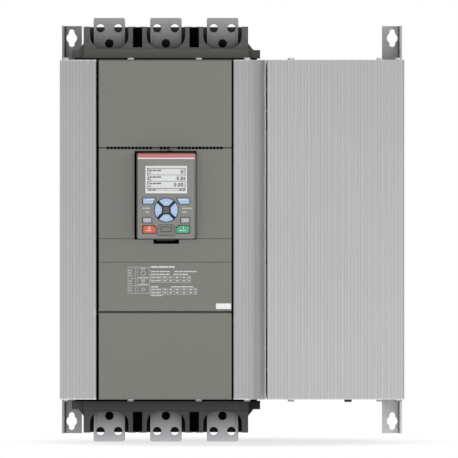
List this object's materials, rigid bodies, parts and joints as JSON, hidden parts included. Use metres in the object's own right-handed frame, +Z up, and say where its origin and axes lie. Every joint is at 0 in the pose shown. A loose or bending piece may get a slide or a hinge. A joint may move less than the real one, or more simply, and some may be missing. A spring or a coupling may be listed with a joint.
{
  "type": "soft starter",
  "caption": "Panel-mounted motor soft starter: fluted aluminium covers, plastic front with detachable keypad, shrouded terminal bars above and below, and mounting rails.",
  "frame": {"origin": "centre of the four keyholes, on the mounting plane behind the rails", "axes": "+X to the viewer's right, +Y from the front into the wall, +Z up"},
  "size_m": [0.435, 0.3822, 0.5384],
  "materials": {
    "cover": "satin anodised",
    "steel": "zinc plated",
    "rail": "zinc plated",
    "front_plastic": "fine grain",
    "carrier": "black",
    "shroud_plastic": "matte",
    "bar": "tin plated",
    "copper": "bare",
    "heat_sink": "bare",
    "module": "matte",
    "transformer": "matte",
    "fan_frame": "matte",
    "fan_rotor": "matte",
    "contactor": "matte",
    "arc_chamber": "matte",
    "board": "solder mask",
    "brass": "bare",
    "screw": "zinc plated",
    "grommet": "matte",
    "keypad": "fine grain",
    "keypad_back": "fine grain",
    "mat": "matte",
    "blue_key": "satin",
    "grey_key": "satin",
    "red_key": "satin",
    "green_key": "satin",
    "display": "backlit",
    "window": "clear",
    "port": "matte"
  },
  "bodies": {
    "housing": {"rail_left": "rail", "rail_right": "rail", "chassis": "steel", "left_cover": "cover", "middle_cover": "cover", "bypass_cover": "cover", "top_end_plate": "steel", "bottom_end_plate": "steel", "bypass_top_plate": "steel", "bypass_bottom_plate": "steel", "front_carrier": "carrier", "upper_front_cover": "front_plastic", "control_cover": "front_plastic", "lower_front_cover": "front_plastic", "top_terminal_base": "shroud_plastic", "bottom_terminal_base": "shroud_plastic", "top_shroud": "shroud_plastic", "bottom_shroud": "shroud_plastic", "line_bar_1": "bar", "line_bar_2": "bar", "line_bar_3": "bar", "load_bar_1": "bar", "load_bar_2": "bar", "load_bar_3": "bar", "heat_sinks": "heat_sink", "thyristor_modules": "module", "current_transformers": "transformer", "bar_bolts": "screw", "fan_frame_left": "fan_frame", "fan_frame_right": "fan_frame", "contactor_base": "contactor", "contactor_head": "arc_chamber", "contactor_terminals": "copper", "line_links": "copper", "load_links": "copper", "control_board": "board", "board_standoffs": "brass", "cover_screws": "screw", "grommet": "grommet"},
    "keypad": {"keypad_rear_shell": "keypad_back", "keypad_front_shell": "keypad", "display_window": "window", "display_module": "display", "keypad_board": "board", "key_mat": "mat"},
    "softkey_left": {"softkey_left": "blue_key"},
    "softkey_right": {"softkey_right": "blue_key"},
    "arrow_up": {"arrow_up": "blue_key"},
    "arrow_left": {"arrow_left": "blue_key"},
    "arrow_down": {"arrow_down": "blue_key"},
    "arrow_right": {"arrow_right": "blue_key"},
    "help_key": {"help_key": "grey_key"},
    "mode_key": {"mode_key": "grey_key"},
    "stop_key": {"stop_key": "red_key"},
    "start_key": {"start_key": "green_key"},
    "port_cover": {"port_cover": "port"},
    "fan_rotor_left": {"fan_rotor_left": "fan_rotor"},
    "fan_rotor_right": {"fan_rotor_right": "fan_rotor"}
  },
  "joints": [
    {"name": "keypad_pull", "type": "slide", "parent": "housing", "child": "keypad", "axis": [0, -1, 0], "range_m": [0, 0.045]},
    {"name": "softkey_left_press", "type": "slide", "parent": "keypad", "child": "softkey_left", "axis": [0, 1, 0], "range_m": [0, 0.0008], "stiffness_N_per_m": 800},
    {"name": "softkey_right_press", "type": "slide", "parent": "keypad", "child": "softkey_right", "axis": [0, 1, 0], "range_m": [0, 0.0008], "stiffness_N_per_m": 800},
    {"name": "arrow_up_press", "type": "slide", "parent": "keypad", "child": "arrow_up", "axis": [0, 1, 0], "range_m": [0, 0.0008], "stiffness_N_per_m": 800},
    {"name": "arrow_left_press", "type": "slide", "parent": "keypad", "child": "arrow_left", "axis": [0, 1, 0], "range_m": [0, 0.0008], "stiffness_N_per_m": 800},
    {"name": "arrow_down_press", "type": "slide", "parent": "keypad", "child": "arrow_down", "axis": [0, 1, 0], "range_m": [0, 0.0008], "stiffness_N_per_m": 800},
    {"name": "arrow_right_press", "type": "slide", "parent": "keypad", "child": "arrow_right", "axis": [0, 1, 0], "range_m": [0, 0.0008], "stiffness_N_per_m": 800},
    {"name": "help_key_press", "type": "slide", "parent": "keypad", "child": "help_key", "axis": [0, 1, 0], "range_m": [0, 0.0008], "stiffness_N_per_m": 800},
    {"name": "mode_key_press", "type": "slide", "parent": "keypad", "child": "mode_key", "axis": [0, 1, 0], "range_m": [0, 0.0008], "stiffness_N_per_m": 800},
    {"name": "stop_key_press", "type": "slide", "parent": "keypad", "child": "stop_key", "axis": [0, 1, 0], "range_m": [0, 0.0008], "stiffness_N_per_m": 800},
    {"name": "start_key_press", "type": "slide", "parent": "keypad", "child": "start_key", "axis": [0, 1, 0], "range_m": [0, 0.0008], "stiffness_N_per_m": 800},
    {"name": "port_cover_hinge", "type": "hinge", "parent": "keypad", "child": "port_cover", "pos_m": [-0.083, -0.38, -0.0067], "axis": [1, 0, 0], "range_deg": [0, 95]},
    {"name": "fan_left_spin", "type": "hinge", "parent": "housing", "child": "fan_rotor_left", "pos_m": [-0.14808, -0.068, -0.19], "axis": [0, 0, 1], "continuous": true},
    {"name": "fan_right_spin", "type": "hinge", "parent": "housing", "child": "fan_rotor_right", "pos_m": [-0.02042, -0.068, -0.19], "axis": [0, 0, 1], "continuous": true}
  ]
}
